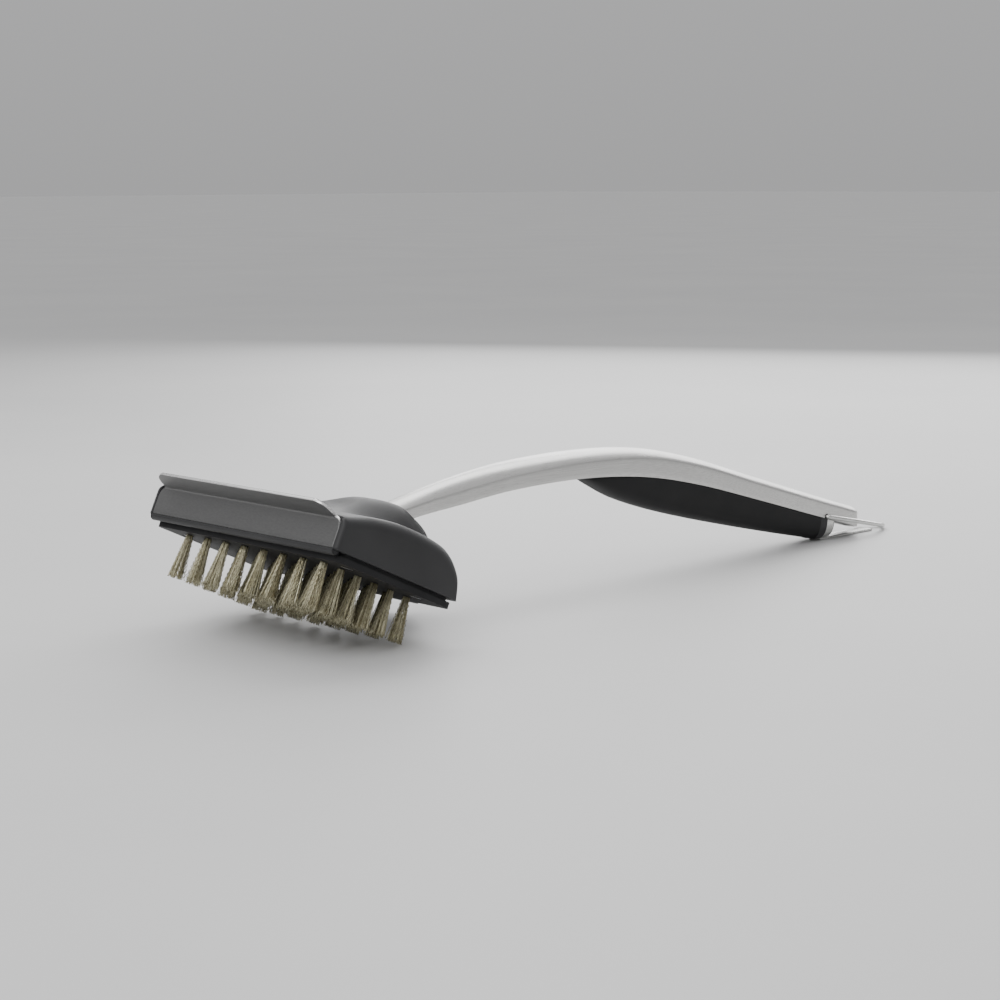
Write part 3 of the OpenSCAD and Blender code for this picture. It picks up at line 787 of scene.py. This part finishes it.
# ---------------------------------------------------------------- assembly
def place(obj, material, slot_name, body, *nodes, highlight_rim=None):
    """Gives a new piece its material, and puts it on its body in the nodes' stead."""
    obj.data.materials.append(material)
    # optional second material for the rim faces: the painted highlight on the scraper's edges
    if highlight_rim is not None:
        obj.data.materials.append(highlight_rim)
    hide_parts(*nodes)
    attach(obj, body)


place(build_head_shell(), shell_mat, "shell_plastic", "brush", "head_shell")
place(build_scraper(), scraper_painted_shade_mat, "scraper_steel", "brush", "scraper_blade", highlight_rim=rim_highlight_mat)
place(build_handle(), handle_mat, "handle_steel", "brush", "handle_shell")
place(build_underside(), handle_mat, "handle_steel", "brush", "handle_underside")
place(build_grip(), rubber_mat, "soft_rubber", "brush", "soft_grip")
for row in range(1, TUFT_ROWS + 1):
    place(build_tufts(row), brass_mat, "brass_wire", "brush", "tuft_row_%d" % row)
place(build_tail_cap(), inner_mat, "block_plastic", "brush", "tail_cap")
place(build_foot(), foot_mat, "handle_steel", "brush", "tail_foot")
place(build_loop(), loop_mat, "loop_steel", "loop", "hanging_loop")

# the nodes of the frame that stay, with their materials
kept = {
    "bristle_block": block_mat, "block_screws": zinc_mat, "tuft_anchors": zinc_mat,
    "scraper_studs": zinc_mat, "stud_nuts": zinc_mat, "neck_plug": inner_mat,
    "neck_screws": zinc_mat, "grip_core": inner_mat, "core_screws": zinc_mat,
    "foot_rivet": zinc_mat,
}
for name, material in kept.items():
    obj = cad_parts[name]
    obj.data.materials.clear()
    obj.data.materials.append(material)
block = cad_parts["bristle_block"]
flat = block.modifiers.new("flats", "DECIMATE")
flat.decimate_type = "DISSOLVE"
flat.angle_limit = math.radians(1)
soft = block.modifiers.new("edges", "BEVEL")
soft.width = 0.5 * MM
soft.segments = 2
soft.limit_method = "ANGLE"
soft.angle_limit = math.radians(50)

# ---------------------------------------------------------------- stage
square = [(FLOOR_HALF * x, FLOOR_HALF * y, 0) for x, y in ((-1, -1), (1, -1), (1, 1), (-1, 1))]
floor = link("floor", new_mesh("floor", square, [(0, 1, 2, 3)]))
floor.location.z = -FLOOR_DROP
floor_mat, bsdf, node, links = new_material("pale_floor")
co = node("ShaderNodeTexCoord").outputs["Object"]
tones = [(0.3, (0.60, 0.60, 0.60)), (0.7, (0.64, 0.64, 0.635))]
links.new(ramp(node, noise(node, co, 3, 4), tones), bsdf.inputs["Base Color"])
bsdf.inputs["Roughness"].default_value = 0.55
floor.data.materials.append(floor_mat)

world = bpy.context.scene.world or bpy.data.worlds.new("studio")
bpy.context.scene.world = world
world.use_nodes = True
sky = world.node_tree
background = sky.nodes["Background"]
direction = sky.nodes.new("ShaderNodeTexCoord")
split = sky.nodes.new("ShaderNodeSeparateXYZ")
shades = sky.nodes.new("ShaderNodeValToRGB")
sky.links.new(direction.outputs["Generated"], split.inputs["Vector"])
sky.links.new(split.outputs["Z"], shades.inputs["Fac"])
sky.links.new(shades.outputs["Color"], background.inputs["Color"])
for element, (pos, tone) in zip(shades.color_ramp.elements, ((0.0, 0.60), (0.55, 1.0))):
    element.position = pos
    element.color = (tone, tone, tone * 1.01, 1)
background.inputs["Strength"].default_value = 0.72


def area_light(name, at, target, size, power):
    """Rectangular light at a place, turned to a target."""
    data = bpy.data.lights.new(name, "AREA")
    data.shape = "RECTANGLE"
    data.size, data.size_y = size
    data.energy = power
    obj = link(name, data)
    obj.location = at
    obj.visible_camera = False
    aim = Vector(target) - Vector(at)
    obj.rotation_euler = aim.to_track_quat("-Z", "Y").to_euler()


area_light("key", (-0.85, -0.15, 0.80), (-0.1, 0, 0.03), (0.7, 0.7), 5)
area_light("top", (0.15, 0.45, 0.95), (0.0, 0, 0.03), (1.3, 0.6), 8)
area_light("highlight_rim", (1.15, 0.65, 0.55), (0.1, 0, 0.04), (1.5, 0.8), 13)

# ---------------------------------------------------------------- camera
HEADING, DIP, ROLL = math.radians(42.92), math.radians(8.46), math.radians(-0.26)
camera_data = bpy.data.cameras.new("camera")
camera_data.lens = 77.06
camera_data.sensor_width = 36
camera_data.clip_start = 0.01
camera = link("camera", camera_data)
camera.location = (-0.77675, -0.7569, 0.2018)
camera.rotation_mode = "XYZ"
camera.rotation_euler = (math.pi / 2 - DIP, 0, -HEADING)
turned = camera.rotation_euler.to_matrix() @ Matrix.Rotation(ROLL, 3, "Z")
camera.rotation_euler = turned.to_euler()
bpy.context.scene.camera = camera
